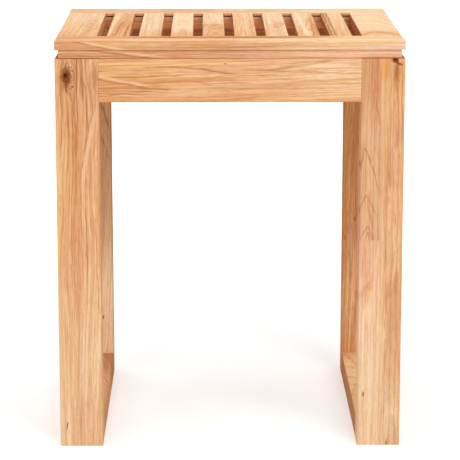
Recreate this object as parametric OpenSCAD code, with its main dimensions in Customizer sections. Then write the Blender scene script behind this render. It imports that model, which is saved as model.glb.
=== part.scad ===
// Slatted bathroom stool of solid wood: a boarded seat on a recessed spacer ring, two closed side frames and
// two aprons. Millimetres. The origin is on the floor, under the middle of the seat. The front faces -Y.

/* [Stool] */
// Width of the stool, left to right
stool_w = 400; // [380:1:500]
// Depth of the stool, front to back
stool_d = 330; // [280:1:450]
// Height of the seat's top above the floor
stool_h = 480; // [380:1:600]

/* [Seat] */
// Thickness of the seat boards
seat_t = 10; // [9:0.5:18]
// Width of the seat's front and rear rails
seat_rail_w = 50; // [40:1:70]
// Number of slats between the two end boards
slat_count = 8; // [5:1:8]
// Width of one slat
slat_w = 26; // [18:0.5:27]
// Gap between neighbouring slats
slot_w = 11; // [6:0.5:12]
// Height of the groove in the seat rails that takes the tongues
groove_h = 1.8; // [1.4:0.1:3]
// Thickness of the rail's wood above that groove
groove_lip = 3.4; // [2.8:0.1:4.5]
// Depth of that groove
groove_depth = 9; // [6:0.5:12]
// How far the groove stops short of each end of its rail
groove_stop = 14; // [8:1:20]
// Space left between a tongue's tip and the bottom of the groove
tongue_gap = 0.5; // [0.2:0.1:1]

/* [Spacer] */
// Thickness of the spacer battens under the seat
spacer_t = 10; // [6:0.5:16]
// How far the spacer is set back from the seat's edge
reveal = 4; // [2:0.5:10]

/* [Frame] */
// Width of the legs and side rails, left to right
stock_w = 50; // [40:1:60]
// Depth of the legs, front to back, and height of the side rails
stock_t = 30; // [26:1:40]
// Height of the aprons
apron_h = 50; // [48:1:90]
// Thickness of the aprons
apron_t = 22; // [19:0.5:25]
// Radius of the eased edges on every board
ease = 1.2; // [0.4:0.1:2]

/* [Dowels] */
// Diameter of the dowels
dowel_d = 8; // [6:0.5:8]
// Length of the dowels
dowel_l = 30; // [26:1:40]
// Distance between the two dowels of a side frame joint
frame_dowel_pitch = 24; // [16:1:28]
// Distance between the two dowels of an apron joint
apron_dowel_pitch = 30; // [29:1:34]
// Spare depth at each end of a dowel's hole
dowel_spare = 0.5; // [0.3:0.1:1]
// Least wood left between two holes that pass each other
web = 3; // [2:0.5:4]

/* [Cam fittings] */
// Diameter of the cam lock
cam_d = 15; // [12:0.5:16]
// Diameter of the cam bolt
cam_bolt_d = 7; // [5:0.5:7]
// Depth that the cam bolt goes into the leg
cam_bolt_grip = 12; // [8:0.5:14]
// Distance from the apron's end to the cam lock's axis
cam_back = 24; // [20:0.5:34]
// Metal of the cam lock past the bolt, seen from the lock's face
cam_under = 1; // [0.5:0.5:2]
// Length of the cross slot in the cam lock's face
cam_slot_l = 8; // [6:0.5:10]
// Width and depth of that slot
cam_slot_w = 2; // [1:0.5:3]

/* [Screws] */
// Shank diameter of the long screws that hold the seat down
seat_screw_d = 4.5; // [4:0.5:5]
// Head diameter of those screws
seat_screw_head_d = 9; // [8:0.5:9.5]
// Head height of those screws
seat_screw_head_h = 3; // [2:0.5:4]
// Depth that their heads are sunk into the top side rails
seat_screw_sink = 8; // [5:0.5:12]
// Distance between the two seat screws of one side
seat_screw_pitch = 140; // [120:1:170]
// Shank diameter of the short screws that hold the spacer
spacer_screw_d = 3.5; // [3:0.5:4]
// Head diameter of the short screws
spacer_screw_head_d = 7; // [6:0.5:8]
// Number of short screws in the front spacer, and in the rear one
spacer_screw_count = 4; // [2:1:4]
// Distance between neighbouring short screws in the front and rear spacers
spacer_screw_step = 90; // [60:1:95]
// Distance between the two short screws of a side spacer
side_spacer_screw_pitch = 70; // [40:1:80]
// Wood left above a screw's tip in the seat boards
tip_cover = 4; // [3:0.5:5]
// Clearance all round between a fitting and its hole or groove
fit = 0.1; // [0.05:0.05:0.2]

/* [Hidden] */
$fn = 48;
// Helper length that carries a cut past the face that it opens
past = 1;

// The front left quarter is modelled, and the other three mirror it
left_x = -stool_w / 2;
front_y = -stool_d / 2;

// Heights
seat_z = stool_h - seat_t;
leg_h = seat_z - spacer_t;
top_rail_z = leg_h - stock_t;
apron_z = leg_h - apron_h;

// Seat boards
slat_l = stool_d - 2 * seat_rail_w;
slat_pitch = slat_w + slot_w;
slat_field_w = slat_count * slat_w + (slat_count + 1) * slot_w;
end_board_w = (stool_w - slat_field_w) / 2;
groove_z = stool_h - groove_lip - groove_h;
tongue_h = groove_h - 2 * fit;
tongue_l = groove_depth - tongue_gap;
end_tongue_inset = groove_stop + tongue_gap;

// Frame
inner_w = stool_w - 2 * stock_w;
inner_d = stool_d - 2 * stock_t;
apron_mid_y = front_y + apron_t / 2;
apron_mid_z = apron_z + apron_h / 2;
leg_mid_x = left_x + stock_w / 2;

// The part of a side frame dowel that sits in the leg ends a web short of the apron's dowels
dowel_in_leg = stock_t - (apron_t + dowel_d) / 2 - web;
cam_bolt_l = cam_bolt_grip + cam_back;
cam_depth = (apron_t + cam_bolt_d) / 2 + cam_under;

// Screws. Those at the sides stand in the middle of what the top rail, the spacer and the end board share
spacer_mid_y = front_y + (reveal + seat_rail_w) / 2;
side_screw_x = left_x + (reveal + min(stock_w, end_board_w)) / 2;
seat_screw_l = stock_t - seat_screw_sink + spacer_t + seat_t - tip_cover;
spacer_screw_l = spacer_t + seat_t - tip_cover;

// Rectangle with eased corners, from the origin
module eased_rect(w, h) {
    translate([ease, 0]) square([w - 2 * ease, h]);
    translate([0, ease]) square([w, h - 2 * ease]);
    for (x = [ease, w - ease], y = [ease, h - ease])
        translate([x, y]) circle(r = ease);
}

// Boards with four eased long edges, each from its lowest corner
module board_along_x(l, d, h) {
    rotate([90, 0, 90]) linear_extrude(l) eased_rect(d, h);
}
module board_along_y(w, l, h) {
    translate([0, l, 0]) rotate([90, 0, 0]) linear_extrude(l) eased_rect(w, h);
}
module board_along_z(w, d, l) {
    linear_extrude(l) eased_rect(w, d);
}

// The same thing on the right side or at the rear
module on_side(right) {
    if (right) mirror([1, 0, 0]) children();
    else children();
}
module on_end(rear) {
    if (rear) mirror([0, 1, 0]) children();
    else children();
}
module at_all_corners() {
    for (right = [false, true], rear = [false, true])
        on_side(right) on_end(rear) children();
}

// Rods whose length runs along X or Y, from their low end
module rod_x(d, l) {
    rotate([0, 90, 0]) cylinder(d = d, h = l);
}
module rod_y(d, l) {
    rotate([-90, 0, 0]) cylinder(d = d, h = l);
}

// Dowels of a side frame joint, with their rail's middle at height z. extra and grow turn them into their holes
module frame_joint_dowels(z, extra = 0, grow = 0) {
    for (side = [-1, 1])
        translate([leg_mid_x + side * frame_dowel_pitch / 2, front_y + stock_t - dowel_in_leg - extra, z])
            rod_y(dowel_d + 2 * grow, dowel_l + 2 * extra);
}
module both_frame_joints(extra = 0, grow = 0) {
    frame_joint_dowels(stock_t / 2, extra, grow);
    frame_joint_dowels(top_rail_z + stock_t / 2, extra, grow);
}

// Dowels of an apron joint, half in the leg and half in the apron
module apron_joint_dowels(extra = 0, grow = 0) {
    for (side = [-1, 1])
        translate([left_x + stock_w - dowel_l / 2 - extra, apron_mid_y, apron_mid_z + side * apron_dowel_pitch / 2])
            rod_x(dowel_d + 2 * grow, dowel_l + 2 * extra);
}

// Bolt that the cam lock pulls on, from the leg to the lock's axis
module cam_bolt(extra = 0, grow = 0) {
    translate([left_x + stock_w - cam_bolt_grip - extra, apron_mid_y, apron_mid_z])
        rod_x(cam_bolt_d + 2 * grow, cam_bolt_l + 2 * extra);
}
module cam_hole() {
    translate([left_x + stock_w + cam_back, front_y + apron_t - cam_depth, apron_mid_z])
        rod_y(cam_d, cam_depth + past);
}

// Seat rail with its stopped groove
module seat_rail(rear) {
    on_end(rear) color("burlywood") difference() {
        translate([left_x, front_y, seat_z]) board_along_x(stool_w, seat_rail_w, seat_t);
        translate([left_x + groove_stop, front_y + seat_rail_w - groove_depth, groove_z])
            cube([stool_w - 2 * groove_stop, groove_depth + past, groove_h]);
        long_spacer_screw_holes();
    }
}

// Seat board between the rails, with a tongue on each end that may start further in than the board
module tongued_board(x, w, tongue_from) {
    translate([x, -slat_l / 2, seat_z]) board_along_y(w, slat_l, seat_t);
    translate([x + tongue_from, -slat_l / 2 - tongue_l, groove_z + fit])
        cube([w - tongue_from, slat_l + 2 * tongue_l, tongue_h]);
}
module end_board(right) {
    on_side(right) color("wheat") difference() {
        tongued_board(left_x, end_board_w, end_tongue_inset);
        seat_screw_holes();
        side_spacer_screw_holes();
    }
}
module slat(i) {
    color("navajowhite") tongued_board(left_x + end_board_w + slot_w + (i - 1) * slat_pitch, slat_w, 0);
}

// Spacer battens, whose inner edges line up with the seat rails and end boards
module long_spacer(rear) {
    on_end(rear) color("peru") difference() {
        translate([left_x + reveal, front_y + reveal, leg_h])
            board_along_x(stool_w - 2 * reveal, seat_rail_w - reveal, spacer_t);
        long_spacer_screw_holes();
    }
}
module side_spacer(right) {
    on_side(right) color("peru") difference() {
        translate([left_x + reveal, -slat_l / 2, leg_h]) board_along_y(end_board_w - reveal, slat_l, spacer_t);
        seat_screw_holes();
        side_spacer_screw_holes();
    }
}

// Leg at a corner, drilled for the side frame's dowels and the apron's fittings
module leg(right, rear) {
    on_side(right) on_end(rear) color("burlywood") difference() {
        translate([left_x, front_y, 0]) board_along_z(stock_w, stock_t, leg_h);
        both_frame_joints(dowel_spare, fit);
        apron_joint_dowels(dowel_spare, fit);
        cam_bolt(dowel_spare, fit);
    }
}

// Rails between the two legs of a side frame
module side_rail(z) {
    difference() {
        translate([left_x, -inner_d / 2, z]) board_along_y(stock_w, inner_d, stock_t);
        for (rear = [false, true]) on_end(rear) both_frame_joints(dowel_spare, fit);
    }
}
module floor_rail(right) {
    on_side(right) color("burlywood") side_rail(0);
}
module top_rail(right) {
    on_side(right) color("burlywood") difference() {
        side_rail(top_rail_z);
        seat_screw_holes();
        seat_screw_counterbores();
    }
}

// Apron between two legs
module apron(rear) {
    on_end(rear) color("burlywood") difference() {
        translate([-inner_w / 2, front_y, apron_z]) board_along_x(inner_w, apron_t, apron_h);
        for (right = [false, true]) on_side(right) {
            apron_joint_dowels(dowel_spare, fit);
            cam_bolt(dowel_spare, fit);
            cam_hole();
        }
    }
}

// Beech dowels
module frame_dowels() {
    color("tan") at_all_corners() both_frame_joints();
}
module apron_dowels() {
    color("tan") at_all_corners() apron_joint_dowels();
}

// Steel cam fittings: the lock sits in the apron's inner face and holds the bolt's end in its bore
module cam_bolts() {
    color("silver") at_all_corners() cam_bolt();
}
module cam_lock() {
    difference() {
        translate([left_x + stock_w + cam_back, front_y + apron_t - cam_depth, apron_mid_z])
            rod_y(cam_d - 2 * fit, cam_depth);
        cam_bolt(fit, fit);
        translate([left_x + stock_w + cam_back, front_y + apron_t, apron_mid_z])
            for (turn = [0, 90]) rotate([0, turn, 0])
                cube([cam_slot_l, 2 * cam_slot_w, cam_slot_w], center = true);
    }
}
module cam_locks() {
    color("silver") at_all_corners() cam_lock();
}

// Long screws through the top side rails, the spacer and into the end boards
module at_seat_screws() {
    for (side = [-1, 1])
        translate([side_screw_x, side * seat_screw_pitch / 2, top_rail_z + seat_screw_sink]) children();
}
module seat_screw_holes() {
    at_seat_screws() cylinder(d = seat_screw_d + 2 * fit, h = seat_screw_l + fit);
}
module seat_screw_counterbores() {
    at_seat_screws() translate([0, 0, -seat_screw_sink - past])
        cylinder(d = seat_screw_head_d + 2 * fit, h = seat_screw_sink + past);
}
module seat_screws() {
    color("silver") for (right = [false, true]) on_side(right) at_seat_screws() {
        translate([0, 0, -seat_screw_head_h]) cylinder(d = seat_screw_head_d, h = seat_screw_head_h);
        cylinder(d = seat_screw_d, h = seat_screw_l);
    }
}

// Short countersunk screws from the spacer's underside into the seat boards
module spacer_screw(grow = 0) {
    head_h = (spacer_screw_head_d - spacer_screw_d) / 2;
    cylinder(d1 = spacer_screw_head_d + 2 * grow, d2 = spacer_screw_d + 2 * grow, h = head_h);
    cylinder(d = spacer_screw_d + 2 * grow, h = spacer_screw_l + grow);
}
module at_long_spacer_screws() {
    for (i = [0:spacer_screw_count - 1])
        translate([(i - (spacer_screw_count - 1) / 2) * spacer_screw_step, spacer_mid_y, leg_h]) children();
}
module at_side_spacer_screws() {
    for (side = [-1, 1])
        translate([side_screw_x, side * side_spacer_screw_pitch / 2, leg_h]) children();
}
module long_spacer_screw_holes() {
    at_long_spacer_screws() spacer_screw(fit);
}
module side_spacer_screw_holes() {
    at_side_spacer_screws() spacer_screw(fit);
}
module spacer_screws() {
    color("silver") {
        for (rear = [false, true]) on_end(rear) at_long_spacer_screws() spacer_screw();
        for (right = [false, true]) on_side(right) at_side_spacer_screws() spacer_screw();
    }
}

seat_rail(false);  // seat_front_rail
seat_rail(true);  // seat_rear_rail
end_board(false);  // end_board_left
end_board(true);  // end_board_right
for (i = [1:slat_count]) slat(i);
long_spacer(false);  // spacer_front
long_spacer(true);  // spacer_rear
side_spacer(false);  // spacer_left
side_spacer(true);  // spacer_right
leg(false, false);  // leg_front_left
leg(true, false);  // leg_front_right
leg(false, true);  // leg_rear_left
leg(true, true);  // leg_rear_right
top_rail(false);  // top_rail_left
top_rail(true);  // top_rail_right
floor_rail(false);  // floor_rail_left
floor_rail(true);  // floor_rail_right
apron(false);  // apron_front
apron(true);  // apron_rear
frame_dowels();
apron_dowels();
cam_bolts();
cam_locks();
seat_screws();
spacer_screws();
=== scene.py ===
"""Looks of the slatted bathroom stool: an oiled light hardwood with its own grain on every board, beech
dowels and zinc fittings, on a pale floor in soft studio light. Lengths are in metres, unless a name or
comment says millimetres, and a board's marks are in millimetres from the board's middle."""

import math
from dataclasses import dataclass

import bpy
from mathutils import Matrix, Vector


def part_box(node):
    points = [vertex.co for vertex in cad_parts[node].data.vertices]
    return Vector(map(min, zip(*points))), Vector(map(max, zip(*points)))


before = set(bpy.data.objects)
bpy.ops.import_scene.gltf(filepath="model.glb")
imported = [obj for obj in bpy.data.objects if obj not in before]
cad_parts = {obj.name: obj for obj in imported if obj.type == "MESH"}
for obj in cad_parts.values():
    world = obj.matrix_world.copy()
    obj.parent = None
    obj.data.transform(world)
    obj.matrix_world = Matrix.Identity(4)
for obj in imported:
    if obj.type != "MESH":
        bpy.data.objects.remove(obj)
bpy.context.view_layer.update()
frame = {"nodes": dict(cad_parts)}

MM = 0.001

# Camera, in front of the stool and a little above its seat
CAMERA_PLACE = (-0.0265, -2.6016, 0.794)
CAMERA_AIM = (0.0017, 0.0, 0.2247)
LENS_MM = 168.7
SENSOR_MM = 36.0

# The world's fill light, and each lamp's place, size and power in watts
WORLD_FILL = 0.46
LAMPS = {
    "key": ((1.1, -2.4, 1.9), 1.6, 38.0),
    "fill": ((-1.9, -2.1, 1.1), 1.8, 15.0),
    "top": ((0.0, -0.2, 2.4), 1.8, 18.0),
    "rear": ((-2.0, 2.0, 1.3), 1.8, 14.0),
}
LAMP_AIM = (0.0, 0.0, 0.25)
WHITE = (1.0, 1.0, 1.0, 1.0)

# Floor, a hair below the stool's feet. It glows to look white: by FLOOR_GLOW up to the first distance of
# FLOOR_FADE, where the stool's shadow falls, and fully from the second distance on.
FLOOR_SIZE = 12.0
FLOOR_HEIGHT = -0.1 * MM
FLOOR_GREY = 0.78
FLOOR_GLOW = 0.40
FLOOR_FADE = (0.5, 1.4)

# Rounds on the boards' sharp edges, where faces meet at more than EASE_ANGLE. Before that, corners closer
# than WELD_GAP are joined, and faces that turn by less than FLAT_ANGLE become one.
EASE_WIDTH = 0.4 * MM
EASE_SEGMENTS = 2
EASE_ANGLE = math.radians(50)
WELD_GAP = 1e-6
FLAT_ANGLE = math.radians(0.6)


@dataclass
class Layer:
    """One noise. Its spots have this size in millimetres: across, through and along the board. Its seed is
    added to the board's own."""
    size: tuple
    seed: float
    detail: float = 2.0
    roughness: float = 0.5


# A seed moves a noise by this many spots
SEED_STEPS = (17.3, 5.9, 31.7)

# How a trunk's growth wanders: each swing's noise, and the millimetres from one side of it to the other
SWINGS = (
    (Layer((60, 60, 230), 13.0, detail=1.0), 13.0),
    (Layer((15, 15, 64), 2.6, detail=1.0), 2.6),
    (Layer((5, 5, 22), 0.7, detail=1.0), 0.7),
)

# Each glued-on strip has the grain of wood that lies this many millimetres further on
STRIP_STEPS = (37.0, 19.0, 410.0)

# Growth rings: the pace at which good years follow bad ones, the most years that this shifts a ring, and the
# years from one seed to the next
YEAR_PACE = 0.6
YEAR_SHIFT = 1.6
SEED_YEARS = 13.7

# Below, four numbers are a step: where it starts and ends, and what it is worth before and after. Two numbers
# are where it starts and ends alone.

# A year of growth goes from 0 to 1. Its wood darkens in two steps, and is pale again after the winter. The
# faintest year is this share as dark as the darkest.
SUMMER = (0.20, 0.90, 0.0, 0.30)
AUTUMN = (0.74, 0.92, 0.0, 0.70)
WINTER = (0.94, 1.0)
FAINTEST_YEAR = 0.20

# Noises that follow the rings: slow changes of tint, streaks, fine stripes and broad bands
TINT = Layer((5, 1, 160), 4)
STREAK = Layer((3.6, 1, 75), 2, detail=4.0, roughness=0.72)
STRIPE = Layer((1.2, 1, 170), 8)
BAND = Layer((10, 1, 240), 9)

# Noises of the wood between the rings
FIBRE = Layer((0.9, 0.9, 16), 3, detail=3.0, roughness=0.6)
PORE = Layer((0.7, 0.7, 14), 5, detail=1.0)

# How much each noise warms the pale wood. Together they reach 1. GRAIN_SPREAD is how far this then swings
# round its middle on a board of contrast 1.
STREAK_WARMTH = (0.36, 0.64, 0.0, 0.30)
FIBRE_WARMTH = (0.42, 0.58, 0.0, 0.16)
STRIPE_WARMTH = (0.42, 0.58, 0.0, 0.36)
BAND_WARMTH = (0.40, 0.60, 0.0, 0.18)
GRAIN_SPREAD = 1.35

# Where the tint turns rosy, and on its other side golden
ROSY = (0.50, 0.64)
GOLDEN = (0.50, 0.36)

# The wood's relief: fibres and rings stand out, and pores are dark and sunk
FIBRE_HEIGHT = 0.7
RING_HEIGHT = 0.5
PORE_SHADE = (0.56, 0.70, 0.0, 0.36)
PORE_DEPTH = (0.60, 0.78, 0.0, 0.8)
WOOD_BUMP = 0.5
WOOD_RELIEF = 0.12 * MM

# Oiled wood shines less than lacquer, and its roughness changes with its fibres
WOOD_SHINE = 0.005
WOOD_ROUGHNESS = (0.3, 0.7, 0.66, 0.84)

# How squarely a surface faces a direction to count as a side or an end
FACING = (0.5, 0.95)

# Ends are darker and rougher. Long edges are warmer, and this fades out over EDGE_WEAR, in millimetres
END_SHADE = 0.45
END_ROUGHNESS = 0.1
EDGE_SHADE = 0.12
EDGE_WEAR = (0.4, 2.2)

# Marks: how their lines sway, in millimetres from one side to the other, how ragged their rims are, and how
# the lines come and go with streaks and fibres
SWAY = Layer((6, 6, 26), 7, detail=1.0)
SWAY_REACH = (4.0, 0.0, 8.0)
RAGS = Layer((2, 2, 4), 6)
RAGGED = (0.3, 0.7, -0.22, 0.22)
RIM_RAGGED = 0.5
STREAK_PATCHES = (0.35, 0.60, 0.55, 0.75)
FIBRE_PATCHES = (0.40, 0.60, 0.0, 0.25)

# The share of a vein's length over which it runs out at each end
VEIN_TAPER = 0.2

# An arch: the power by which its sides open, where its tip begins and where its legs run out
ARCH_POWER = 0.85
ARCH_TIP = (-0.04, 0.03)
ARCH_LEGS = (0.5, 1.0)

# A whorl: where each line rises and falls from one oval to the next, and where the whole runs out
WHORL_RISE = (0.35, 0.85)
WHORL_FALL = (0.88, 1.0)
WHORL_RIM = (0.6, 1.0)

# A knot, in shares of its radius: half sizes across and along of the wood that parts round it and of its
# halo, rim and core, and how far the middle of halo and rim lies off the core
PARTING_SIZE = (5.2, 9.0)
HALO_SIZE = (2.7, 6.4)
RIM_SIZE = (1.9, 4.7)
CORE_SIZE = (0.7, 0.9)
EYE_SHIFT = (0.2, -0.4)

# How far the wood is drawn in to a knot's axis, how far the halo and rim are from round to straight-sided,
# how the halo, rim and core fade, and where the core sinks
PARTING_PULL = 0.85
POINTEDNESS = 0.6
HALO_FADE = (0.30, 1.0, 0.5, 0.0)
RIM_FADE = (0.35, 0.95, 0.9, 0.0)
CORE_FADE = (0.30, 1.05, 0.9, 0.0)
CORE_HOLLOW = (0.5, 1.0)

# A size through the board that is so large that depth doesn't count
ANY_DEPTH = 1e4

# Beech rod
BEECH_FLECK = Layer((0.7, 0.7, 0.7), 41)
BEECH_CLOUD = Layer((6, 6, 6), 42)
CLOUD_SHADE = (0.3, 0.7)
FLECK_SHADE = (0.58, 0.72, 0.0, 0.5)
FLECK_ROUGHNESS = (0.3, 0.7, 0.55, 0.7)
BEECH_BUMP = 0.5
BEECH_RELIEF = 0.1 * MM

# Zinc-plated steel
ZINC_PATCH = Layer((2.6, 2.6, 2.6), 51, detail=3.0)
ZINC_SCRATCH = Layer((0.15, 2.0, 0.15), 52)
PATCH_SHADE = (0.35, 0.70)
PATCH_ROUGHNESS = (0.3, 0.7, 0.24, 0.42)
SCRATCH_ROUGHNESS = (0.4, 0.7, 0.0, 0.12)
ZINC_BUMP = 0.4
ZINC_RELIEF = 0.05 * MM


def rgb(red, green, blue):
    """A colour given as 0 to 255 on screen, as Blender's linear colour."""
    def linear(value):
        share = value / 255
        return share / 12.92 if share <= 0.04045 else ((share + 0.055) / 1.055) ** 2.4
    return (linear(red), linear(green), linear(blue), 1.0)


class Graph:
    """A material's or a world's nodes. A value is a number, a colour, a vector or another node's output."""

    def __init__(self, owner):
        owner.use_nodes = True
        self.tree = owner.node_tree
        self.tree.nodes.clear()

    def add(self, kind, inputs=None, output=0, **settings):
        """Adds a node with these settings and inputs, and gives one of its outputs."""
        node = self.tree.nodes.new("ShaderNode" + kind)
        for name, value in settings.items():
            setattr(node, name, value)
        for key, value in (inputs or {}).items():
            if isinstance(value, bpy.types.NodeSocket):
                self.tree.links.new(value, node.inputs[key])
            else:
                node.inputs[key].default_value = value
        return node.outputs[output] if len(node.outputs) else None

    def math(self, operation, a, b=0.0):
        return self.add("Math", {0: a, 1: b}, operation=operation)

    def times(self, a, b):
        return self.math("MULTIPLY", a, b)

    def plus(self, a, b):
        return self.math("ADD", a, b)

    def minus(self, a, b):
        return self.math("SUBTRACT", a, b)

    def vector(self, operation, a, b):
        return self.add("VectorMath", {0: a, 1: b}, operation=operation)

    def scaled(self, a, factor):
        return self.add("VectorMath", {0: a, "Scale": factor}, operation="SCALE")

    def length(self, a):
        return self.add("VectorMath", {0: a}, "Value", operation="LENGTH")

    def parts(self, a):
        """A vector's three numbers."""
        first = self.add("SeparateXYZ", {0: a})
        return tuple(first.node.outputs)

    def joined(self, x, y, z):
        """A vector of three numbers."""
        return self.add("CombineXYZ", {0: x, 1: y, 2: z})

    def step(self, value, start, end, low=0.0, high=1.0):
        """Goes smoothly from low to high while the value goes from start to end."""
        limits = {0: value, 1: start, 2: end, 3: low, 4: high}
        return self.add("MapRange", limits, interpolation_type="SMOOTHSTEP")

    def fall(self, value, start, end):
        """Goes smoothly from 1 to 0 while the value goes from start to end."""
        return self.step(value, start, end, 1.0, 0.0)

    def mix(self, factor, a, b, **settings):
        """A colour between a and b. A Mix node has its colours on inputs 6 and 7 and on output 2."""
        return self.add("Mix", {0: factor, 6: a, 7: b}, 2, data_type="RGBA", **settings)

    def cast(self, factor, a, b):
        """The colour a, filtered through the colour b."""
        return self.mix(factor, a, b, blend_type="MULTIPLY")

    def mix_places(self, factor, a, b):
        """A vector between a and b. A Mix node has its vectors on inputs 4 and 5 and on output 1."""
        return self.add("Mix", {0: factor, 4: a, 5: b}, 1, data_type="VECTOR")

    def millimetres(self):
        """The place on the stool in millimetres. A CAD piece's own coordinates are the stool's."""
        return self.scaled(self.add("TexCoord", output="Object"), 1 / MM)

    def noise(self, place, layer, seed=0, output="Fac"):
        """A layer's noise at a place in millimetres."""
        shift = tuple(step * (layer.seed + seed) for step in SEED_STEPS)
        moved = self.vector("ADD", self.vector("DIVIDE", place, layer.size), shift)
        inputs = {"Vector": moved, "Scale": 1.0, "Detail": layer.detail, "Roughness": layer.roughness}
        return self.add("TexNoise", inputs, output)

    def swing(self, place, layer, seed, reach):
        """A layer's noise as a vector that swings by half of the reach to each side."""
        noise = self.noise(place, layer, seed, "Color")
        return self.vector("MULTIPLY", self.vector("SUBTRACT", noise, (0.5, 0.5, 0.5)), reach)

    def from_middle(self, place, middle, size, turn=0.0):
        """The place as shares of an oval's half sizes, from its middle. Degrees and millimetres."""
        turned = (0.0, math.radians(turn), 0.0)
        placing = {"Vector": place, "Location": middle, "Rotation": turned, "Scale": size}
        return self.add("Mapping", placing, vector_type="TEXTURE")

    def reach(self, place, middle, size, turn=0.0):
        """How far out a place lies in an oval: 0 in its middle and 1 on its rim."""
        return self.length(self.from_middle(place, middle, size, turn))

    def pointed_reach(self, place, middle, size):
        """How far out a place lies in an oval that is drawn out to points."""
        across, _, along = self.parts(self.from_middle(place, middle, size))
        straight = self.plus(self.math("ABSOLUTE", across), self.math("ABSOLUTE", along))
        pointed = self.times(straight, POINTEDNESS)
        return self.plus(pointed, self.times(self.reach(place, middle, size), 1 - POINTEDNESS))

    def bump(self, strength, distance, height):
        """A surface's normal with this relief."""
        return self.add("Bump", {"Strength": strength, "Distance": distance, "Height": height})


@dataclass
class Tone:
    """Colours of one kind of board: its pale wood, its warm streaks and its dark growth lines."""
    pale: tuple
    warm: tuple
    dark: tuple


# Tones of the boards
HONEY = Tone(rgb(242, 195, 148), rgb(212, 148, 98), rgb(172, 106, 64))
BLUSH = Tone(rgb(246, 206, 168), rgb(226, 170, 130), rgb(188, 124, 86))
CREAM = Tone(rgb(248, 216, 176), rgb(228, 178, 132), rgb(194, 134, 88))
IVORY = Tone(rgb(252, 228, 194), rgb(238, 198, 156), rgb(206, 152, 106))
PINK = Tone(rgb(236, 192, 152), rgb(216, 160, 118), rgb(178, 116, 78))
AMBER = Tone(rgb(240, 188, 132), rgb(206, 138, 82), rgb(160, 96, 52))
TAN = Tone(rgb(222, 174, 132), rgb(196, 144, 104), rgb(146, 96, 62))
BROWN = Tone(rgb(212, 154, 106), rgb(182, 122, 78), rgb(132, 80, 48))
RUSSET = Tone(rgb(208, 142, 100), rgb(180, 108, 70), rgb(134, 76, 48))
UMBER = Tone(rgb(180, 112, 74), rgb(152, 88, 54), rgb(108, 60, 34))
CORAL = Tone(rgb(230, 166, 120), rgb(206, 134, 90), rgb(158, 92, 56))
PEACH = Tone(rgb(255, 220, 168), rgb(252, 202, 148), rgb(208, 138, 90))

# Filters that turn the wood rosy or golden
ROSE_CAST = (1.0, 0.92, 0.90, 1.0)
GOLD_CAST = (1.0, 0.99, 0.90, 1.0)

# Shades of single marks
GOLD_TINT = rgb(244, 196, 130)
VEIN = rgb(164, 98, 56)
RUST = rgb(190, 106, 66)
PALE = rgb(253, 222, 178)
ORANGE = rgb(232, 152, 84)
GREY = rgb(150, 134, 116)
CRACK = rgb(84, 46, 26)
KNOT_CORE = rgb(70, 28, 12)
KNOT_RIM = rgb(124, 62, 34)
SHADOW_LINE = rgb(140, 80, 44)
# Painted shade for the sides of boards that lie in shade, such as the walls of the seat's slots
PAINTED_SHADE_TAN = rgb(206, 128, 80)
PAINTED_SHADE_BROWN = rgb(168, 92, 50)

# Colours of the fittings
BEECH_PALE = rgb(226, 188, 142)
BEECH_WARM = rgb(208, 164, 118)
BEECH_DARK = rgb(158, 108, 70)
ZINC_BRIGHT = rgb(206, 208, 210)
ZINC_DULL = rgb(168, 170, 176)


@dataclass
class Knot:
    """A branch's cut end, drawn out to points above and below."""
    across: float
    along: float
    radius: float


@dataclass
class Vein:
    """One line of the grain or of painted shade, from start to end along the board, by three places across
    it.
    It reaches its width to each side. An edge line shows on the narrow sides alone, by three places through
    the board."""
    start: float
    end: float
    across: tuple
    width: float = 1.2
    shade: tuple = VEIN
    strength: float = 0.6
    edge: bool = False


@dataclass
class Arch:
    """A pointed line of the grain. From its tip it opens downwards over its length along the board, by the
    two numbers in sides to the left and to the right."""
    across: float
    along: float
    length: float
    sides: tuple
    width: float = 1.0
    shade: tuple = VEIN
    strength: float = 0.6


@dataclass
class Spot:
    """A mark, an oval with these half sizes across and along the board, turned by degrees. It fades over the
    outer share that soft gives."""
    across: float
    along: float
    size: tuple
    turn: float = 0.0
    shade: tuple = CRACK
    strength: float = 0.8
    soft: float = 0.7


@dataclass
class Whorl:
    """Nested ovals of the grain. size is the largest one's half size, and lines is their number."""
    across: float
    along: float
    size: tuple
    lines: float
    turn: float = 0.0
    strength: float = 0.5


@dataclass
class Strip:
    """A glued-on strip of another tone, past its start on an axis, ACROSS or ALONG."""
    axis: int
    start: float
    tone: Tone


@dataclass
class Fade:
    """A slow change to another tone on an axis, ACROSS or ALONG. It is full from the end place on."""
    axis: int
    start: float
    end: float
    tone: Tone
    strength: float = 1.0


@dataclass
class PaintedShadeSide:
    """Painted shade on a long side that lies in shade, with -1 or 1 for its direction across the board."""
    direction: int
    shade: tuple
    strength: float


@dataclass
class Board:
    """One board's grain. order names the stool's axes that lie across, through and along the board.
    The pith is across and through from the board's middle, and lean is its shift for each millimetre along.
    ring is a year's growth in millimetres, wander how far the grain strays, lines how dark the rings are,
    and contrast how far the streaks differ."""
    order: str
    seed: int
    tone: Tone
    pith: tuple = (60.0, 30.0)
    lean: tuple = (0.0, 0.02)
    ring: float = 4.0
    wander: float = 1.0
    lines: float = 0.6
    contrast: float = 1.0
    marks: tuple = ()


# The stool's axes that lie across, through and along each kind of board
UPRIGHT = "xyz"
FRONT_TO_BACK = "xzy"
APRON = "zyx"
SEAT_RAIL = "yzx"

# Places of these in such an order
ACROSS = 0
ALONG = 2

# Start and end of a line that is longer than any board
WHOLE = (-400, 400)

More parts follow.
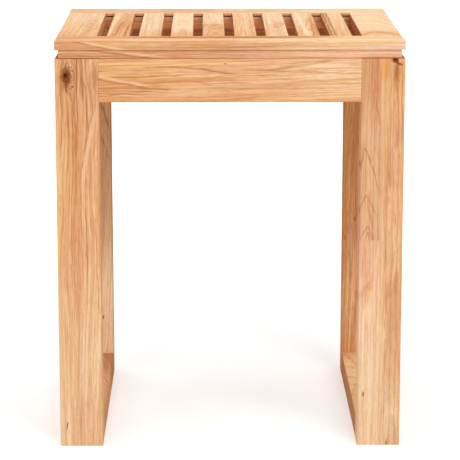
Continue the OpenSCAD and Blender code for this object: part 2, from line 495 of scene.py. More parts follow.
# The seat's boards are paler to the rear and warmer to the front: a painted sheen that grows towards the
# rear.
# The walls of its slots get painted shade, darker on the boards' left sides than on their right.
SEAT_SHEEN_FADES = (Fade(ALONG, -30, 112, IVORY, 0.8), Fade(ALONG, -20, -100, HONEY, 0.5))
SLOT_WALL_SHADE = (PaintedShadeSide(1, PAINTED_SHADE_TAN, 0.8), PaintedShadeSide(-1, PAINTED_SHADE_BROWN, 0.85))
SLAT = (*SEAT_SHEEN_FADES, *SLOT_WALL_SHADE)

BOARDS = {
    "seat_front_rail": Board(
        SEAT_RAIL, 1, HONEY, pith=(-15, 55), lean=(0.02, 0.01), ring=3.0, contrast=1.2,
        marks=(
            # Paler towards the right end: painted light, as from a lamp on the right
            Fade(ALONG, -60, 150, CREAM),
            Fade(ALONG, 40, 170, IVORY, 0.75),
            # A faint painted shade on the rail's front face
            PaintedShadeSide(-1, VEIN, 0.06),
            Vein(-150, 150, (21, 21, 21), 9.0, HONEY.warm, 0.5),
            Vein(-260, 260, (-8, -9, -8), 13.0, PALE, 0.6),
            Vein(-135, 142, (13.6, 13.4, 13.6), 7.0, SHADOW_LINE, 1.0),
            Vein(-180, -102, (9.0, -0.8, -7.5), 2.4, PALE, 0.65, edge=True),
            Vein(-192, -112, (9.0, -1.2, -7.5), 1.3, VEIN, 0.5, edge=True),
            Vein(-60, 120, (2.2, -1.0, 1.6), 1.2, VEIN, 0.35, edge=True),
            Vein(-90, 60, (-2.6, -3.0, -1.4), 1.2, VEIN, 0.4, edge=True),
            Vein(60, 230, (-1.8, -0.6, -2.2), 1.2, VEIN, 0.35, edge=True),
        ),
    ),
    "seat_rear_rail": Board(
        SEAT_RAIL, 2, BLUSH, pith=(10, 60), lean=(0.02, 0.01),
        marks=(
            Fade(ALONG, -150, -20, CREAM, 0.8),
            Fade(ALONG, -40, 120, IVORY, 0.9),
            # Painted shade on the rail's front face, which lies in shade down the seat's slots
            PaintedShadeSide(-1, PAINTED_SHADE_TAN, 0.62),
            Vein(-190, 20, (6, 9, 4), 6.0, RUST, 0.25),
            Vein(-150, 60, (-8, -4, -10), 5.0, RUST, 0.2),
        ),
    ),
    "end_board_left": Board(
        FRONT_TO_BACK, 3, CREAM, pith=(60, 26), lean=(0.02, 0.03), contrast=0.8,
        marks=(
            *SEAT_SHEEN_FADES,
            # Painted shade on the board's right side, a wall of the first slot
            PaintedShadeSide(1, CORAL.warm, 0.75),
            Spot(9.5, -12, (13, 62), 0, PINK.warm, 0.4, 0.95),
            Whorl(9.5, -12, (15, 84), 2.8, 0, 0.4),
            Vein(-150, 150, (-20, -18, -20), 4.0, GOLD_TINT, 0.5),
        ),
    ),
    "end_board_right": Board(
        FRONT_TO_BACK, 4, IVORY, pith=(-6, 50), lean=(-0.04, 0.2), ring=9.0, lines=0.5, contrast=0.9,
        marks=(
            Fade(ALONG, -30, -110, CREAM),
            # Painted shade on the board's left side, a wall of the last slot
            PaintedShadeSide(-1, PAINTED_SHADE_BROWN, 0.9),
            Spot(2, -90, (34, 17), 0, ORANGE, 0.55, 0.9),
            Spot(-4, 60, (16, 40), 0, PALE, 0.5, 0.9),
        ),
    ),
    "slat_1": Board(
        FRONT_TO_BACK, 5, HONEY, pith=(30, 8), lean=(0.02, 0.04), ring=3.0,
        marks=(
            # Paler to the rear: the seat's painted sheen, for this board alone
            Fade(ALONG, -20, 112, CREAM, 0.9),
            *SLOT_WALL_SHADE,
            Vein(-150, 160, (-12.5, -10, -5), 4.5, PALE, 0.9),
            Vein(-160, 60, (-2, 3, 10), 4.0, ORANGE, 0.6),
            Vein(-160, 10, (6, 8, 11), 2.0, VEIN, 0.8),
            Vein(-150, 40, (-5.5, -2, 1), 1.6, VEIN, 0.6),
        ),
    ),
    "slat_2": Board(
        FRONT_TO_BACK, 6, IVORY, pith=(60, 10), lean=(0.02, 0.0), ring=3.0,
        marks=(
            *SLAT,
            Vein(-150, 150, (-7.5, -7, -7.6), 1.6, RUST, 0.35),
            Vein(-150, 150, (4.2, 4.8, 4.2), 1.4, RUST, 0.3),
            Vein(-150, 110, (9.8, 10.2, 9.6), 1.8, RUST, 0.4),
        ),
    ),
    "slat_3": Board(
        FRONT_TO_BACK, 7, IVORY, pith=(2, 12), lean=(0.0, 0.05), ring=5.0,
        wander=1.6, lines=0.4, contrast=0.7,
        marks=(Fade(ALONG, -35, -105, AMBER, 0.6), *SLOT_WALL_SHADE),
    ),
    "slat_4": Board(
        FRONT_TO_BACK, 8, HONEY, pith=(4, 20), lean=(0.0, 0.05), wander=1.6, lines=0.4, contrast=0.8,
        marks=(
            Strip(ALONG, -6, IVORY),
            Fade(ALONG, 50, -6, CREAM),
            Fade(ALONG, -5, -8, AMBER, 0.6),
            *SLOT_WALL_SHADE,
            Vein(-12, 0, (0, 0, 0), 30.0, VEIN, 0.3),
        ),
    ),
    "slat_5": Board(
        FRONT_TO_BACK, 9, CREAM, pith=(-40, 16), lean=(0.02, 0.03), ring=2.6,
        marks=(
            *SLAT,
            Vein(-150, 150, (-6, -5.4, -6.2), 1.6, ORANGE, 0.6),
            Vein(-150, 150, (0.5, 0, 0.8), 1.2, ORANGE, 0.5),
            Vein(-150, 150, (7, 7.6, 7), 1.8, ORANGE, 0.6),
        ),
    ),
    "slat_6": Board(
        FRONT_TO_BACK, 10, IVORY, pith=(34, 10), lean=(0.0, 0.04), ring=3.5,
        marks=(
            *SLAT,
            Spot(4.5, -12, (13, 60), 6, HONEY.warm, 0.45, 0.95),
            Whorl(4.5, -12, (14, 74), 2.2, 6, 0.5),
            Vein(-150, 130, (-8, -9, -8), 2.0, ORANGE, 0.5),
        ),
    ),
    "slat_7": Board(
        FRONT_TO_BACK, 11, CREAM, pith=(24, 10), lean=(0.05, 0.05), ring=3.2, contrast=1.2,
        marks=(
            *SLAT,
            Vein(-160, 70, (4.5, 7, 8.5), 3.0, VEIN, 0.8),
            Vein(-160, 30, (11, 11.5, 11), 2.4, VEIN, 0.7),
            Vein(-160, 120, (8, 9, 10), 6.0, ORANGE, 0.5),
            Vein(-150, 160, (-1, -4, -7), 4.6, IVORY.pale, 0.85),
            Spot(5, -60, (5, 22), 0, ORANGE, 0.35),
        ),
    ),
    "slat_8": Board(
        FRONT_TO_BACK, 12, CREAM, pith=(50, 6), lean=(0.0, 0.0), ring=3.0,
        marks=(
            *SLAT,
            Vein(-160, 160, (-9, -9, -9), 7.0, AMBER.warm, 0.8),
            Vein(-160, 160, (-11.5, -11, -11.5), 3.2, AMBER.dark, 0.8),
            Vein(-160, 160, (-5.5, -6.2, -7), 2.8, AMBER.dark, 0.7),
            Vein(-160, 160, (-8.8, -8.6, -9), 1.0, PALE, 0.5),
        ),
    ),
    "spacer_front": Board(
        SEAT_RAIL, 13, PINK, pith=(-15, 55), lean=(0.02, 0.01), ring=3.0, wander=1.3, lines=0.7, contrast=1.3,
        marks=(
            # Paler towards the right end and darker to the left: painted light and shade, as from a lamp on
            # the right
            Fade(ALONG, -20, 150, BLUSH),
            Fade(ALONG, 20, -150, HONEY, 0.6),
            Vein(-150, -30, (0, 0, 0), 99.0, RUST, 0.4),
            Vein(-166, -54, (9.0, 0.6, -6.4), 2.0, PALE, 0.6, edge=True),
            Vein(-186, -74, (9.0, 0.2, -6.4), 1.4, VEIN, 0.7, edge=True),
            Vein(-240, -100, (0.6, -1.6, -3.0), 1.4, VEIN, 0.5, edge=True),
            Vein(-70, 110, (1.0, -1.0, 1.4), 1.3, RUST, 0.4, edge=True),
        ),
    ),
    "spacer_rear": Board(SEAT_RAIL, 14, CORAL),
    # The side spacers' inner sides, below the end boards, get painted shade
    "spacer_left": Board(FRONT_TO_BACK, 15, PINK, marks=(PaintedShadeSide(1, PAINTED_SHADE_TAN, 0.8),)),
    "spacer_right": Board(FRONT_TO_BACK, 16, PINK, marks=(PaintedShadeSide(-1, PAINTED_SHADE_BROWN, 0.9),)),
    "leg_front_left": Board(
        UPRIGHT, 17, HONEY, pith=(62, 20), lean=(0.01, 0.01), ring=3.6, wander=1.25,
        marks=(
            Fade(ALONG, 60, -130, CREAM, 0.85),
            Fade(ALONG, 110, 190, RUSSET, 0.12),
            Vein(*WHOLE, (-24, -24, -24), 3.6, GOLD_TINT, 0.55),
            Vein(*WHOLE, (-2.5, -1, -1), 6.0, RUST, 0.26),
            Whorl(-7, 208, (10, 24), 3.5, 0, 0.75),
            Spot(-24.6, 205, (3.2, 14), 0, ORANGE, 0.8, 0.9),
            Knot(-12.8, 211, 4.6),
            Spot(-5.6, 216.6, (4.6, 1.0), 0, KNOT_RIM, 0.9),
            Spot(-5.2, 198.3, (3.8, 0.9), 0, KNOT_RIM, 0.9),
            Vein(150, 270, (0.2, 0.3, 0.2), 1.0, KNOT_RIM, 0.9),
            Vein(180, 250, (5.5, 5.8, 3.6), 2.4, VEIN, 0.9),
            Vein(140, 213, (9.6, 11.8, 5.4), 2.4, VEIN, 0.9),
            Vein(176, 250, (12.0, 8.4, 7.4), 1.8, PALE, 0.25),
            Vein(190, 250, (13.2, 11.2, 10.2), 2.0, RUST, 0.8),
            Vein(140, 206, (14.5, 18.0, 13.0), 2.0, VEIN, 0.5),
            Vein(120, 196, (11.0, 15.0, 11.0), 2.0, PALE, 0.35),
            Spot(20.5, 209, (7.0, 26), 0, VEIN, 0.5, 0.95),
            Vein(100, 203, (-7.4, -5.0, -8.6), 1.8, VEIN, 0.8),
            Vein(90, 200, (-12.4, -10.4, -13.0), 1.8, RUST, 0.8),
            Vein(110, 196, (-2.6, -2.0, -4.6), 1.5, VEIN, 0.6),
            Vein(110, 212, (-20.4, -17.6, -20.2), 1.6, VEIN, 0.7),
            Vein(84, 182, (6.0, 12.6, 25.0), 3.8, PALE, 0.42),
            Vein(78, 176, (2.4, 8.4, 20.4), 1.8, VEIN, 0.55),
            Vein(60, 150, (12.6, 15.4, 25.0), 1.6, VEIN, 0.4),
            Vein(-50, 62, (9.2, 9.0, 8.3), 1.3, VEIN, 0.7),
            Vein(-78, 44, (22.2, 20.6, 18.8), 1.3, VEIN, 0.6),
            Vein(10, 110, (5.2, 3.0, 3.8), 1.3, VEIN, 0.5),
            Spot(-16.7, -204.6, (1.1, 6.0), 8),
        ),
    ),
    "leg_front_right": Board(
        UPRIGHT, 18, BLUSH, pith=(90, 40), lean=(0.0, 0.01), wander=0.6, lines=0.45,
        marks=(
            Strip(ALONG, 18, PINK),
            Strip(ACROSS, -0.3, HONEY),
            Fade(ALONG, 20, -180, IVORY, 0.5),
            Fade(ALONG, -40, 90, TAN, 0.3),
            Fade(ALONG, 130, 210, AMBER, 0.4),
            Vein(150, 380, (-13.0, -13.0, -13.0), 18.0, VEIN, 0.26),
            Vein(*WHOLE, (1.6, 1.8, -1.8), 2.4, PALE, 0.28),
            Vein(*WHOLE, (23.6, 23.6, 23.6), 3.4, ORANGE, 0.65),
            Vein(-320, 300, (6.6, 6.2, 7.0), 1.3, VEIN, 0.4),
            Vein(-300, 320, (12.2, 12.6, 12.0), 1.8, RUST, 0.4),
            Vein(-320, 200, (19.2, 18.6, 19.0), 1.4, VEIN, 0.4),
            Spot(15.0, 214, (5.2, 20.0), 0, VEIN, 0.75, 0.95),
            Spot(17.6, 224.4, (6.4, 2.2), 24, KNOT_RIM, 0.85),
            Spot(13.4, 229, (6.0, 5.2), 0, KNOT_RIM, 0.95),
            Spot(13.2, 229.6, (2.6, 2.4), 0, KNOT_CORE, 0.8),
            Vein(175, 250, (17.4, 15.6, 13.2), 2.2, VEIN, 0.5),
            Vein(120, 250, (17.2, 17.4, 15.4), 1.3, VEIN, 0.45),
            Vein(120, 240, (22.2, 22.0, 20.4), 1.3, VEIN, 0.8),
            Vein(40, 340, (3.4, 1.0, -7.0), 4.5, GOLD_TINT, 0.4),
            Spot(1.2, 222, (6.0, 22), 0, ORANGE, 0.75, 0.95),
            Vein(60, 250, (9.4, 9.0, 7.4), 1.8, VEIN, 0.5),
            Vein(140, 300, (-6.4, -7.4, -9.4), 3.4, VEIN, 0.35),
            Vein(150, 190, (-3.6, -6.0, -9.0), 1.5, RUST, 0.45),
            Arch(-20.0, 127.5, 62, (12.0, 20.0), 1.3, VEIN, 0.8),
            Arch(-18.4, 72.6, 34, (10.0, 15.0), 1.4, RUST, 0.75),
            Vein(30, 72, (-9.0, -14.0, -16.6), 1.8, RUST, 0.6),
            Arch(-16.0, 34.8, 18, (8.0, 7.5), 1.7, RUST, 0.75),
            Arch(-15.6, 28.0, 12, (3.4, 4.0), 1.5, VEIN, 0.6),
            Spot(-13.0, -39, (9.0, 5.5), -40, ORANGE, 0.6, 0.95),
            Spot(-19.5, -47, (5.0, 2.6), -50, ORANGE, 0.5, 0.95),
            Vein(-66, -24, (-30.0, -22.0, -6.0), 5.0, RUST, 0.35),
            Spot(-14.0, -70, (8.0, 20.0), 0, PALE, 0.45, 0.95),
            Vein(-90, 20, (-6.0, -6.4, -3.0), 2.0, PALE, 0.5),
            Spot(-18.4, -167.3, (1.6, 4.4), 0, VEIN, 0.95),
            Vein(-215, -160, (-19.2, -19.0, -18.4), 1.2, VEIN, 0.3),
            Spot(15.0, -208, (6.0, 26.0), 0, CREAM.pale, 0.45, 0.95),
            Spot(9.5, -227, (0.9, 6.0)),
        ),
    ),
    # The rear legs' darker tones, growing paler towards their feet, are partly painted shade: the seat above
    # shades their upper parts
    "leg_rear_left": Board(
        UPRIGHT, 19, TAN, pith=(80, -20), lean=(0.05, 0.01),
        marks=(
            Fade(ALONG, 0, -120, CREAM),
            Vein(92, 150, (24, 16, 8), 2.0, KNOT_RIM, 0.6),
            Vein(56, 94, (24, 17, 10), 2.0, KNOT_RIM, 0.5),
            Spot(12.2, -151, (1.8, 4.4), 0, KNOT_RIM, 0.8),
        ),
    ),
    "leg_rear_right": Board(
        UPRIGHT, 20, BROWN, pith=(-80, -20), lean=(0.03, 0.01), contrast=1.6,
        marks=(
            Fade(ALONG, -10, -140, HONEY, 0.9),
            Spot(-9.8, -20, (1.6, 4.5), 0, KNOT_RIM, 0.8),
            Spot(-22, -45, (2.5, 6.0), 0, RUST, 0.8),
            Vein(-80, 240, (-24, -24, -24), 5.0, AMBER.warm, 0.5),
        ),
    ),
    # A line of painted shade on the top rail's inner edge, seen down the seat's slots
    "top_rail_left": Board(
        FRONT_TO_BACK, 21, HONEY, pith=(40, 50),
        marks=(Vein(*WHOLE, (24, 24, 24), 4.0, PAINTED_SHADE_BROWN, 0.8),),
    ),
    # A line of painted shade on the top rail's inner edge, seen down the seat's slots
    "top_rail_right": Board(
        FRONT_TO_BACK, 22, HONEY, pith=(-40, 50),
        marks=(Vein(*WHOLE, (-24, -24, -24), 4.0, PAINTED_SHADE_BROWN, 0.8),),
    ),
    "floor_rail_left": Board(
        FRONT_TO_BACK, 23, HONEY, pith=(-60, 30), lean=(-0.20, 0.02), ring=7.0,
        wander=1.2, lines=0.4, contrast=0.8,
        marks=(Fade(ALONG, 20, 90, RUSSET, 0.75), Fade(ALONG, -40, -110, TAN, 0.6)),
    ),
    "floor_rail_right": Board(
        FRONT_TO_BACK, 24, PEACH, pith=(60, 30), lean=(0.25, 0.02), ring=9.0,
        wander=1.4, lines=0.4, contrast=0.5,
        marks=(
            Fade(ALONG, 80, 118, AMBER, 0.5),
            # Painted shade on the rail's inner side
            PaintedShadeSide(-1, PAINTED_SHADE_BROWN, 0.7),
            Vein(52, 140, (-4.0, -13.7, -23.4), 6.0, AMBER.warm, 0.5),
            Vein(44, 80, (5.2, -14.4, -33.9), 10.0, AMBER.warm, 0.4),
            Vein(-2, 34, (9.7, -18.0, -45.8), 11.0, AMBER.warm, 0.5),
            Vein(-34, 6, (-3.4, -19.6, -39.4), 5.0, RUST, 0.3),
            Vein(-82, -40, (-6.0, -20.0, -34.0), 8.0, AMBER.warm, 0.3),
        ),
    ),
    "apron_front": Board(
        APRON, 25, HONEY, pith=(60, 26), lean=(0.03, 0.01), ring=3.6,
        marks=(
            # Paler towards the right end and warmer to the left: painted light, as from a lamp on the right
            Fade(ALONG, -40, 150, CREAM, 0.7),
            Fade(ALONG, -20, -150, AMBER, 0.5),
            Vein(-240, 60, (19.0, 19.6, 20.0), 2.6, GOLD_TINT, 0.85),
            Spot(19.4, -5.3, (1.3, 3.0), 0, GREY, 0.8),
            Vein(-100, 14, (16.2, 14.2, 4.8), 2.0, VEIN, 0.75),
            Vein(-180, -84, (9.0, 1.4, -7.4), 2.6, PALE, 0.55),
            Vein(-175, -84, (5.8, -2.2, -10.6), 1.6, RUST, 0.75),
            Vein(-190, -50, (-8.4, -9.0, -8.6), 1.5, VEIN, 0.75),
            Vein(-190, -60, (-11.6, -12.0, -12.4), 1.4, RUST, 0.75),
            Vein(-190, -80, (-15.0, -15.2, -15.4), 1.4, VEIN, 0.7),
            Vein(-190, -100, (-17.6, -17.8, -18.2), 1.3, RUST, 0.7),
            Vein(-50, 30, (-2.4, -3.0, -2.4), 1.5, VEIN, 0.6),
            Vein(-60, 80, (-14.6, -16.2, -15.6), 2.6, ORANGE, 0.5),
            Vein(35, 125, (11.5, 17.0, 25.0), 1.9, VEIN, 0.5),
            Vein(5, 175, (13.6, 9.6, 7.0), 1.9, VEIN, 0.5),
            Spot(17.5, 110, (3.6, 44.0), 0, PALE, 0.6, 0.9),
            Vein(-20, 70, (7.0, 6.2, 6.8), 1.6, RUST, 0.5),
            Vein(40, 160, (2.0, 1.0, 2.4), 1.6, RUST, 0.4),
            Vein(-30, 110, (-8.4, -9.2, -8.0), 1.5, VEIN, 0.4),
            Vein(-300, 300, (-21.8, -22.2, -21.8), 2.2, ORANGE, 0.5),
        ),
    ),
    # The rear apron's dark umber tone is painted shade: the board lies deep under the seat
    "apron_rear": Board(
        APRON, 26, UMBER, pith=(-60, 30), lean=(0.02, 0.01),
        marks=(Fade(ACROSS, -4, 22, RUSSET, 0.9),),
    ),
}


def board_place(g, name, order):
    """Millimetres from the board's middle, as a vector of across, through and along the board."""
    low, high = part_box(name)
    middle = tuple((low + high) / 2)
    here = g.add("TexCoord", output="Object")
    from_middle = g.scaled(g.vector("SUBTRACT", here, middle), 1 / MM)
    axes = dict(zip("xyz", g.parts(from_middle)))
    return g.joined(*(axes[letter] for letter in order))


def half_size(name, order):
    """Half the board's size in millimetres: across, through and along it."""
    low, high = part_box(name)
    half = dict(zip("xyz", (high - low) / 2 / MM))
    return Vector(half[letter] for letter in order)


def marks_of(board, kind):
    """The board's marks of one kind."""
    return [mark for mark in board.marks if isinstance(mark, kind)]


def middle_of(mark):
    """A mark's middle on its board."""
    return (mark.across, 0, mark.along)


def right_through(size, scale=1.0):
    """Half sizes of an oval across, through and along the board, so deep that it goes right through."""
    return (size[0] * scale, ANY_DEPTH, size[1] * scale)


def strips_of(g, place, board):
    """Each glued-on strip with 1 on it and 0 beside it."""
    return [
        (strip, g.math("GREATER_THAN", g.parts(place)[strip.axis], strip.start))
        for strip in marks_of(board, Strip)
    ]


def own_grain(g, place, strips):
    """The place, moved far away on each strip, so that its grain is that of another piece of wood."""
    moved = place
    for number, (_, share) in enumerate(strips, 1):
        elsewhere = g.vector("ADD", place, tuple(step * number for step in STRIP_STEPS))
        moved = g.mix_places(share, moved, elsewhere)
    return moved


def blended(g, share, first, second):
    """A tone between two."""
    colours = zip((first.pale, first.warm, first.dark), (second.pale, second.warm, second.dark))
    return Tone(*(g.mix(share, a, b) for a, b in colours))


def local_tone(g, place, board, strips):
    """The board's tone as its strips and fades change it from place to place."""
    tone = board.tone
    for strip, share in strips:
        tone = blended(g, share, tone, strip.tone)
    for fade in marks_of(board, Fade):
        share = g.step(g.parts(place)[fade.axis], fade.start, fade.end, 0.0, fade.strength)
        tone = blended(g, share, tone, fade.tone)
    return tone


def wandering(g, place, board):
    """The place, shifted across the grain as a trunk's growth wanders along it."""
    for layer, swing in SWINGS:
        reach = swing * board.wander
        place = g.vector("ADD", place, g.swing(place, layer, board.seed, (reach, reach, 0.0)))
    return place


def parted(g, flow, place, knot):
    """The grain parts round a knot: near it, the place is drawn in towards the knot's axis."""
    size = right_through(PARTING_SIZE, knot.radius)
    near = g.fall(g.reach(place, middle_of(knot), size), 0.0, 1.0)
    pulled = g.times(g.minus(knot.across, g.parts(flow)[ACROSS]), g.times(near, PARTING_PULL))
    return g.vector("ADD", flow, g.joined(pulled, 0.0, 0.0))


def from_pith(g, flow, board):
    """Distance from the pith in millimetres."""
    across, through, along = g.parts(flow)
    away = [
        g.minus(value, g.plus(at, g.times(along, lean)))
        for value, at, lean in zip((across, through), board.pith, board.lean)
    ]
    return g.length(g.joined(*away, 0.0))


def growth_rings(g, radius, board):
    """Dark late wood at the end of each year's ring, with good years and bad ones."""
    years = g.math("DIVIDE", radius, board.ring)
    uneven = g.add("TexNoise", {"W": years, "Scale": YEAR_PACE, "Detail": 1.0}, noise_dimensions="1D")
    years = g.plus(g.plus(years, g.times(uneven, YEAR_SHIFT)), SEED_YEARS * board.seed)
    season = g.math("FRACT", years)
    late = g.plus(g.step(season, *SUMMER), g.step(season, *AUTUMN))
    late = g.times(late, g.fall(season, *WINTER))
    year = g.add("TexWhiteNoise", {"W": g.math("FLOOR", years)}, "Value", noise_dimensions="1D")
    return g.times(late, g.plus(FAINTEST_YEAR, g.times(g.times(year, year), 1 - FAINTEST_YEAR)))


def faced(g, order, axis):
    """How far the surface faces along one of the board's axes, ACROSS or ALONG: from -1 to 1."""
    normal = g.parts(g.add("TexCoord", output="Normal"))
    return normal["xyz".index(order[axis])]


def faces_share(g, order, axis):
    """1 on the two faces that look along one of the board's axes, and 0 on the others."""
    return g.step(g.math("ABSOLUTE", faced(g, order, axis)), *FACING)


def vein_share(g, place, vein, order):
    """1 on a vein's line and 0 beside it. The line is a parabola through its three places."""
    across, through, along = g.parts(place)
    aside = through if vein.edge else across
    first, middle, last = vein.across
    bend = 2 * (first + last - 2 * middle)
    share = g.math("DIVIDE", g.minus(along, vein.start), vein.end - vein.start)
    curve = g.plus(first, g.times(share, g.plus(last - first - bend, g.times(share, bend))))
    beside = g.math("ABSOLUTE", g.minus(aside, curve))
    line = g.times(g.step(share, 0.0, VEIN_TAPER), g.fall(share, 1 - VEIN_TAPER, 1.0))
    if vein.edge:
        line = g.times(line, faces_share(g, order, ACROSS))
    return g.times(g.fall(beside, 0.0, vein.width), line)


def arch_share(g, place, arch):
    """1 on an arch's line and 0 beside it."""
    across, _, along = g.parts(place)
    left_side, right_side = arch.sides
    share = g.math("DIVIDE", g.minus(arch.along, along), arch.length)
    opening = g.math("POWER", g.math("MAXIMUM", share, 0.0), ARCH_POWER)
    aside = g.minus(across, arch.across)
    right = g.math("GREATER_THAN", aside, 0.0)
    side = g.plus(left_side, g.times(right, right_side - left_side))
    beside = g.math("ABSOLUTE", g.minus(g.math("ABSOLUTE", aside), g.times(opening, side)))
    ends = g.times(g.step(share, *ARCH_TIP), g.fall(share, *ARCH_LEGS))
    return g.times(g.fall(beside, 0.0, arch.width), ends)


def whorl_share(g, place, whorl):
    """1 on the nested ovals of a whorl and 0 between them, weaker towards its rim."""
    reach = g.reach(place, middle_of(whorl), right_through(whorl.size), whorl.turn)
    season = g.math("FRACT", g.times(reach, whorl.lines))
    line = g.times(g.step(season, *WHORL_RISE), g.fall(season, *WHORL_FALL))
    return g.times(line, g.fall(reach, *WHORL_RIM))


def edge_share(g, place, half):
    """1 on the board's eased long edges, falling to 0 a little way in."""
    across, through, _ = g.parts(place)
    half_across, half_through, _ = half
    from_side = g.minus(half_across, g.math("ABSOLUTE", across))
    from_face = g.minus(half_through, g.math("ABSOLUTE", through))
    return g.fall(g.math("MAXIMUM", from_side, from_face), *EDGE_WEAR)


def with_lines(g, colour, tone, place, board, patchy):
    """The colour with the board's whorls, veins and arches, as strong as the patches let them be."""
    lines = [(whorl_share(g, place, whorl), whorl.strength, tone.dark) for whorl in marks_of(board, Whorl)]
    for vein in marks_of(board, Vein):
        lines.append((vein_share(g, place, vein, board.order), vein.strength, vein.shade))
    for arch in marks_of(board, Arch):
        lines.append((arch_share(g, place, arch), arch.strength, arch.shade))
    for share, strength, shade in lines:
        colour = g.mix(g.times(g.times(share, strength), patchy), colour, shade)
    return colour


def with_spots(g, colour, place, board, ragged):
    """The colour with the board's spots, which have ragged rims."""
    for spot in marks_of(board, Spot):
        reach = g.reach(place, middle_of(spot), right_through(spot.size), spot.turn)
        reach = g.plus(reach, g.times(ragged, RIM_RAGGED))
        share = g.step(reach, 1.0 - spot.soft, 1.0, spot.strength, 0.0)
        colour = g.mix(share, colour, spot.shade)
    return colour


def with_knot(g, colour, height, place, knot, ragged):
    """The colour and the height with a knot: a dark core in a brown rim, with a paler halo round both."""
    shift_across, shift_along = EYE_SHIFT
    eye = (knot.across + shift_across * knot.radius, 0, knot.along + shift_along * knot.radius)
    uneven = g.times(ragged, RIM_RAGGED)
    halo = g.plus(g.pointed_reach(place, eye, right_through(HALO_SIZE, knot.radius)), uneven)
    rim = g.plus(g.pointed_reach(place, eye, right_through(RIM_SIZE, knot.radius)), uneven)
    core = g.plus(g.reach(place, middle_of(knot), right_through(CORE_SIZE, knot.radius)), uneven)
    colour = g.mix(g.step(halo, *HALO_FADE), colour, VEIN)
    colour = g.mix(g.step(rim, *RIM_FADE), colour, KNOT_RIM)
    colour = g.mix(g.step(core, *CORE_FADE), colour, KNOT_CORE)
    return colour, g.minus(height, g.fall(core, *CORE_HOLLOW))


def with_marks(g, colour, height, tone, place, board, grain):
    """The colour and the height with all the board's lines, spots and knots."""
    sway = g.swing(place, SWAY, board.seed, SWAY_REACH)
    ragged = g.step(g.noise(place, RAGS, board.seed), *RAGGED)
    patchy = g.plus(g.step(grain.streak, *STREAK_PATCHES), g.step(grain.fibre, *FIBRE_PATCHES))
    colour = with_lines(g, colour, tone, g.vector("ADD", place, sway), board, patchy)
    colour = with_spots(g, colour, place, board, ragged)
    for knot in marks_of(board, Knot):
        colour, height = with_knot(g, colour, height, place, knot, ragged)
    return colour, height


@dataclass
class Grain:
    """The node outputs of a board's growth rings and of its noises."""
    rings: bpy.types.NodeSocket
    tint: bpy.types.NodeSocket
    streak: bpy.types.NodeSocket
    stripe: bpy.types.NodeSocket
    band: bpy.types.NodeSocket
    fibre: bpy.types.NodeSocket
    pore: bpy.types.NodeSocket


def grain_of(g, place, board, strips):
    """The board's grain, in wood that wanders and that parts round the knots."""
    flow = wandering(g, own_grain(g, place, strips), board)
    for knot in marks_of(board, Knot):
        flow = parted(g, flow, place, knot)
    radius = from_pith(g, flow, board)
    layers = g.joined(radius, 0.0, g.parts(flow)[ALONG])
    return Grain(
        rings=growth_rings(g, radius, board),
        tint=g.noise(layers, TINT, board.seed),
        streak=g.noise(layers, STREAK, board.seed),
        stripe=g.noise(layers, STRIPE, board.seed),
        band=g.noise(layers, BAND, board.seed),
        fibre=g.noise(flow, FIBRE, board.seed),
        pore=g.noise(flow, PORE, board.seed),
    )


def grain_colour(g, grain, tone, board):
    """The wood's colour without marks: warm streaks on pale wood, a changing tint, rings and pores."""
    warmth = g.plus(g.step(grain.streak, *STREAK_WARMTH), g.step(grain.fibre, *FIBRE_WARMTH))
    warmth = g.plus(warmth, g.step(grain.stripe, *STRIPE_WARMTH))
    warmth = g.plus(warmth, g.step(grain.band, *BAND_WARMTH))
    warmth = g.plus(g.times(g.minus(warmth, 0.5), board.contrast * GRAIN_SPREAD), 0.5)
    colour = g.mix(warmth, tone.pale, tone.warm)
    colour = g.cast(g.step(grain.tint, *ROSY, 0.0, board.contrast), colour, ROSE_CAST)
    colour = g.cast(g.step(grain.tint, *GOLDEN, 0.0, board.contrast), colour, GOLD_CAST)
    colour = g.mix(g.times(grain.rings, board.lines), colour, tone.dark)
    return g.mix(g.step(grain.pore, *PORE_SHADE), colour, tone.dark)


def grain_height(g, grain):
    """The wood's relief without marks."""
    height = g.plus(g.times(grain.fibre, FIBRE_HEIGHT), g.times(grain.rings, RING_HEIGHT))
    return g.minus(height, g.step(grain.pore, *PORE_DEPTH))


def finished(g, colour, roughness, bump, **settings):
    """The shader and the material's output."""
    inputs = {"Base Color": colour, "Roughness": roughness, "Normal": bump, **settings}
    g.add("OutputMaterial", {"Surface": g.add("BsdfPrincipled", inputs)})


def wood(name, board):
    """The oiled hardwood of one board."""
    material = bpy.data.materials.new("wood_" + name)
    g = Graph(material)
    place = board_place(g, name, board.order)
    strips = strips_of(g, place, board)
    tone = local_tone(g, place, board, strips)
    grain = grain_of(g, place, board, strips)
    colour = grain_colour(g, grain, tone, board)
    height = grain_height(g, grain)
    colour, height = with_marks(g, colour, height, tone, place, board, grain)

    # Painted shade on the long sides that lie in shade
    for shaded_side in marks_of(board, PaintedShadeSide):
        facing = g.times(faced(g, board.order, ACROSS), shaded_side.direction)
        colour = g.mix(g.step(facing, *FACING, 0.0, shaded_side.strength), colour, shaded_side.shade)
    ends = faces_share(g, board.order, ALONG)
    colour = g.mix(g.times(ends, END_SHADE), colour, tone.dark)
    edges = edge_share(g, place, half_size(name, board.order))
    colour = g.mix(g.times(edges, EDGE_SHADE), colour, tone.warm)
    roughness = g.plus(g.step(grain.fibre, *WOOD_ROUGHNESS), g.times(ends, END_ROUGHNESS))
    bump = g.bump(WOOD_BUMP, WOOD_RELIEF, height)
    finished(g, colour, roughness, bump, **{"Specular IOR Level": WOOD_SHINE})
    return material


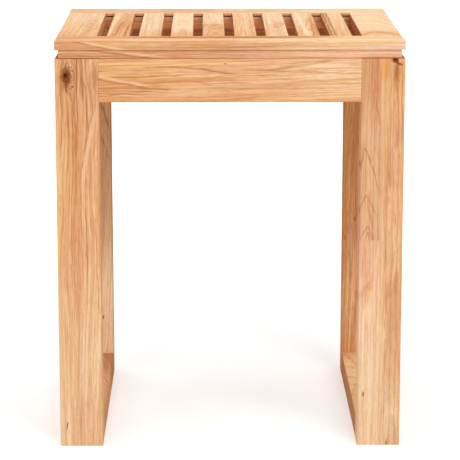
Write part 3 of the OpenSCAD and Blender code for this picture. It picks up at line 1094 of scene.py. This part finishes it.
def beech():
    """Raw beech of the dowels, with its short dark flecks."""
    material = bpy.data.materials.new("beech")
    g = Graph(material)
    here = g.millimetres()
    fleck = g.noise(here, BEECH_FLECK)
    cloud = g.noise(here, BEECH_CLOUD)
    colour = g.mix(g.step(cloud, *CLOUD_SHADE), BEECH_PALE, BEECH_WARM)
    colour = g.mix(g.step(fleck, *FLECK_SHADE), colour, BEECH_DARK)
    bump = g.bump(BEECH_BUMP, BEECH_RELIEF, fleck)
    finished(g, colour, g.step(fleck, *FLECK_ROUGHNESS), bump)
    return material


def zinc():
    """Zinc-plated steel with turning marks and dull patches."""
    material = bpy.data.materials.new("zinc")
    g = Graph(material)
    here = g.millimetres()
    patch = g.noise(here, ZINC_PATCH)
    scratch = g.noise(here, ZINC_SCRATCH)
    colour = g.mix(g.step(patch, *PATCH_SHADE), ZINC_BRIGHT, ZINC_DULL)
    roughness = g.plus(g.step(patch, *PATCH_ROUGHNESS), g.step(scratch, *SCRATCH_ROUGHNESS))
    bump = g.bump(ZINC_BUMP, ZINC_RELIEF, scratch)
    finished(g, colour, roughness, bump, Metallic=1.0)
    return material


def ease_edges(piece):
    """A fine round on every edge that the board's maker left sharp."""
    weld = piece.modifiers.new("Weld", "WELD")
    weld.merge_threshold = WELD_GAP
    flat = piece.modifiers.new("Flat faces", "DECIMATE")
    flat.decimate_type = "DISSOLVE"
    flat.angle_limit = FLAT_ANGLE
    bevel = piece.modifiers.new("Ease", "BEVEL")
    bevel.limit_method = "ANGLE"
    bevel.angle_limit = EASE_ANGLE
    bevel.width = EASE_WIDTH
    bevel.segments = EASE_SEGMENTS


def dress(frame):
    """Gives every CAD node its material: wood for the boards, beech for the dowels and zinc for the rest."""
    rod = beech()
    steel = zinc()
    for name, piece in frame["nodes"].items():
        if name in BOARDS:
            material = wood(name, BOARDS[name])
            ease_edges(piece)
        elif name.endswith("dowels"):
            material = rod
        else:
            material = steel
        piece.data.materials[0] = material


def seen_directly(g):
    """1 for what the camera sees, also in a mirror or through glass."""
    path = g.add("LightPath").node.outputs
    rays = [path[name] for name in ("Is Camera Ray", "Is Glossy Ray", "Is Transmission Ray")]
    return g.math("MAXIMUM", rays[0], g.math("MAXIMUM", rays[1], rays[2]))


def make_floor():
    """A pale floor that looks white, apart from the stool's shadow. It lies a hair below the stool's feet."""
    bpy.ops.mesh.primitive_plane_add(size=FLOOR_SIZE, location=(0.0, 0.0, FLOOR_HEIGHT))
    floor = bpy.context.object
    floor.name = "floor"
    material = bpy.data.materials.new("floor")
    g = Graph(material)
    diffuse = g.add("BsdfDiffuse", {"Color": (FLOOR_GREY, FLOOR_GREY, FLOOR_GREY, 1.0)})
    from_stool = g.length(g.add("TexCoord", output="Object"))
    brightness = g.step(from_stool, *FLOOR_FADE, FLOOR_GLOW, 1.0)
    glow = g.add("Emission", {"Strength": g.times(seen_directly(g), brightness)})
    g.add("OutputMaterial", {"Surface": g.add("AddShader", {0: diffuse, 1: glow})})
    floor.data.materials.append(material)


def make_world():
    """White to look at, and a soft fill for the object."""
    world = bpy.data.worlds.new("studio")
    bpy.context.scene.world = world
    g = Graph(world)
    strength = g.step(seen_directly(g), 0.0, 1.0, WORLD_FILL, 1.0)
    background = g.add("Background", {"Color": WHITE, "Strength": strength})
    g.add("OutputWorld", {"Surface": background})


def turn_to(thing, aim):
    """Turns a lamp or camera to look at a place."""
    thing.rotation_euler = (Vector(aim) - thing.location).to_track_quat("-Z", "Y").to_euler()


def make_lamps():
    """Square area lamps round the stool."""
    for name, (place, size, power) in LAMPS.items():
        light = bpy.data.lights.new(name, "AREA")
        light.size = size
        light.energy = power
        lamp = bpy.data.objects.new(name, light)
        bpy.context.collection.objects.link(lamp)
        lamp.location = place
        turn_to(lamp, LAMP_AIM)


def make_camera():
    """A camera with a long lens that looks at the stool."""
    data = bpy.data.cameras.new("camera")
    data.lens = LENS_MM
    data.sensor_width = SENSOR_MM
    camera = bpy.data.objects.new("camera", data)
    bpy.context.collection.objects.link(camera)
    camera.location = CAMERA_PLACE
    turn_to(camera, CAMERA_AIM)
    bpy.context.scene.camera = camera


bpy.context.scene.view_settings.view_transform = "Standard"
dress(frame)
make_floor()
make_world()
make_lamps()
make_camera()
